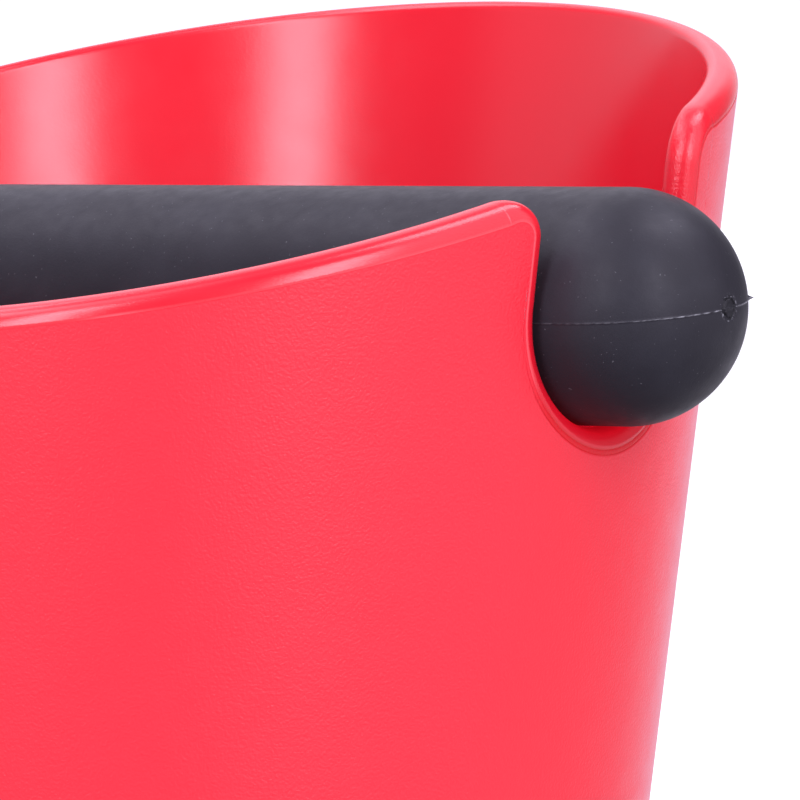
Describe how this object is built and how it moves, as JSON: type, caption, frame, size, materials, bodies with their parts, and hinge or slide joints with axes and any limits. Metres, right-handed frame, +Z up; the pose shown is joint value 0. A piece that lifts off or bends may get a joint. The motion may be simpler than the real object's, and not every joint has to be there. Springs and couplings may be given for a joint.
{
  "type": "espresso knock box",
  "caption": "Tapered round bucket with a slanted rim and two notches that hold a removable rubber-covered steel knock bar, standing on a rubber ring.",
  "frame": {"origin": "on the table, under the middle of the object's bounding box", "axes": "+Z up, +X along the knock bar, +Y towards the high side of the rim"},
  "size_m": [0.1749, 0.1482, 0.1424],
  "materials": {
    "bucket_plastic": "satin red moulded ABS, fine texture outside",
    "ring_rubber": "matt black rubber",
    "core_steel": "drawn steel rod",
    "bar_rubber": "matt dark grey moulded rubber"
  },
  "bodies": {
    "bucket": {"bucket": "bucket_plastic", "base_ring": "ring_rubber"},
    "bar_core": {"knock_bar_core": "core_steel"},
    "bar_sleeve": {"knock_bar_sleeve": "bar_rubber"}
  },
  "joints": [
    {"name": "bar_lift", "type": "slide", "parent": "bucket", "child": "bar_core", "axis": [0, 0, 1], "range_m": [0, 0.06]},
    {"name": "bar_roll", "type": "hinge", "parent": "bar_core", "child": "bar_sleeve", "pos_m": [0, -0.00257, 0.1015], "axis": [1, 0, 0], "continuous": true}
  ]
}
